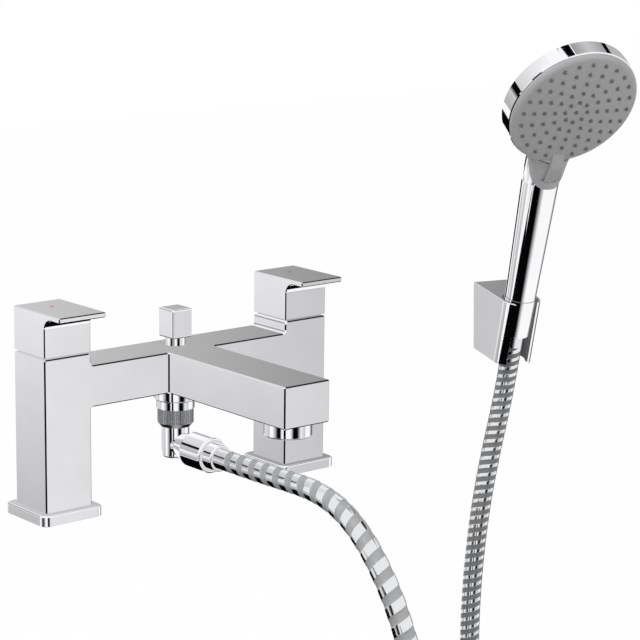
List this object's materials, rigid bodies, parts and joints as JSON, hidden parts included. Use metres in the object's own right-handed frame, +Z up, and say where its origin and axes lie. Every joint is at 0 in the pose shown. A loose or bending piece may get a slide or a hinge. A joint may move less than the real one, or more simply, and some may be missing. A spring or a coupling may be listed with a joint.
{
  "type": "bath shower mixer",
  "caption": "Deck-mounted bath shower mixer with square legs and spout, lever handles, lift-up diverter, shower hose and round hand shower in a wall bracket.",
  "frame": {"origin": "on the deck, midway between the two legs", "axes": "+X from the hot leg to the cold leg, -Y towards the bather (the way the spout points), +Z up"},
  "size_m": [0.4295, 0.2966, 0.7474],
  "materials": {
    "chrome": "polished",
    "chromed_plastic": "polished",
    "brass": "machined",
    "rubber": "matte",
    "ceramic": "ground",
    "stainless": "brushed",
    "hose_metal": "polished metallic winding under a clear sleeve",
    "grey_plastic": "satin",
    "grey_silicone": "matte",
    "dark_plastic": "matte",
    "pale_plastic": "matte",
    "hot_index": "gloss",
    "cold_index": "gloss"
  },
  "bodies": {
    "root": {"mixer_body": "chrome", "base_plate_hot": "chrome", "base_plate_cold": "chrome", "deck_seals": "rubber", "inlet_nipple_hot": "brass", "inlet_nipple_cold": "brass", "cartridge_seals": "rubber", "fixed_discs": "ceramic", "cartridge_housing_hot": "brass", "cartridge_housing_cold": "brass", "cover_sleeve_hot": "chrome", "cover_sleeve_cold": "chrome", "diverter_seat": "brass", "diverter_bush": "brass", "outlet_adapter": "chrome", "union_washer": "rubber", "union_nut": "chrome", "elbow": "chrome", "check_valve": "pale_plastic", "hose_nut": "chrome", "hose_washer": "rubber", "hose_ferrule": "chrome", "aerator_housing": "chrome", "aerator_insert": "dark_plastic", "aerator_seal": "rubber", "bracket_shell": "chrome", "bracket_liner": "dark_plastic", "bracket_backplate": "stainless", "hose": "hose_metal"},
    "hot_lever": {"lever_hot": "chrome", "index_dot_hot": "hot_index", "lever_grub_hot": "stainless", "spindle_hot": "brass", "moving_disc_hot": "ceramic"},
    "cold_lever": {"lever_cold": "chrome", "index_dot_cold": "cold_index", "lever_grub_cold": "stainless", "spindle_cold": "brass", "moving_disc_cold": "ceramic"},
    "diverter": {"diverter_stem": "brass", "diverter_valve": "brass", "diverter_ring": "rubber", "diverter_knob": "chrome", "diverter_spring": "stainless"},
    "hose_end": {"cone_nut": "chrome", "filter_washer": "rubber", "hose_tail": "brass"},
    "handset": {"handset_body": "chromed_plastic", "neck_insert": "grey_plastic", "handset_nipple": "pale_plastic", "water_pipe": "pale_plastic", "distributor": "pale_plastic", "head_seal": "rubber", "trim_ring": "chromed_plastic"},
    "spray": {"spray_disc": "grey_plastic", "spray_nozzles": "grey_silicone"}
  },
  "joints": [
    {"name": "hot_lever_turn", "type": "hinge", "parent": "root", "child": "hot_lever", "pos_m": [-0.105, 0, 0.13], "axis": [0, 0, 1], "range_deg": [-90, 0]},
    {"name": "cold_lever_turn", "type": "hinge", "parent": "root", "child": "cold_lever", "pos_m": [0.105, 0, 0.13], "axis": [0, 0, 1], "range_deg": [0, 90]},
    {"name": "diverter_lift", "type": "slide", "parent": "root", "child": "diverter", "axis": [0, 0, 1], "range_m": [0, 0.006], "stiffness_N_per_m": 150, "springref_m": -0.01, "deforming": ["diverter_spring"]},
    {"name": "handset_lift", "type": "slide", "parent": "root", "child": "hose_end", "axis": [-0.0713, -0.2488, 0.9659], "range_m": [0, 0.06]},
    {"name": "handset_turn", "type": "hinge", "parent": "hose_end", "child": "handset", "pos_m": [0.267, -0.0795, 0.1235], "axis": [-0.0713, -0.2488, 0.9659], "range_deg": [-90, 90]},
    {"name": "spray_select", "type": "hinge", "parent": "handset", "child": "spray", "pos_m": [0.24679, -0.14996, 0.27344], "axis": [-0.2312, -0.8062, -0.5446], "range_deg": [-15, 15]}
  ]
}
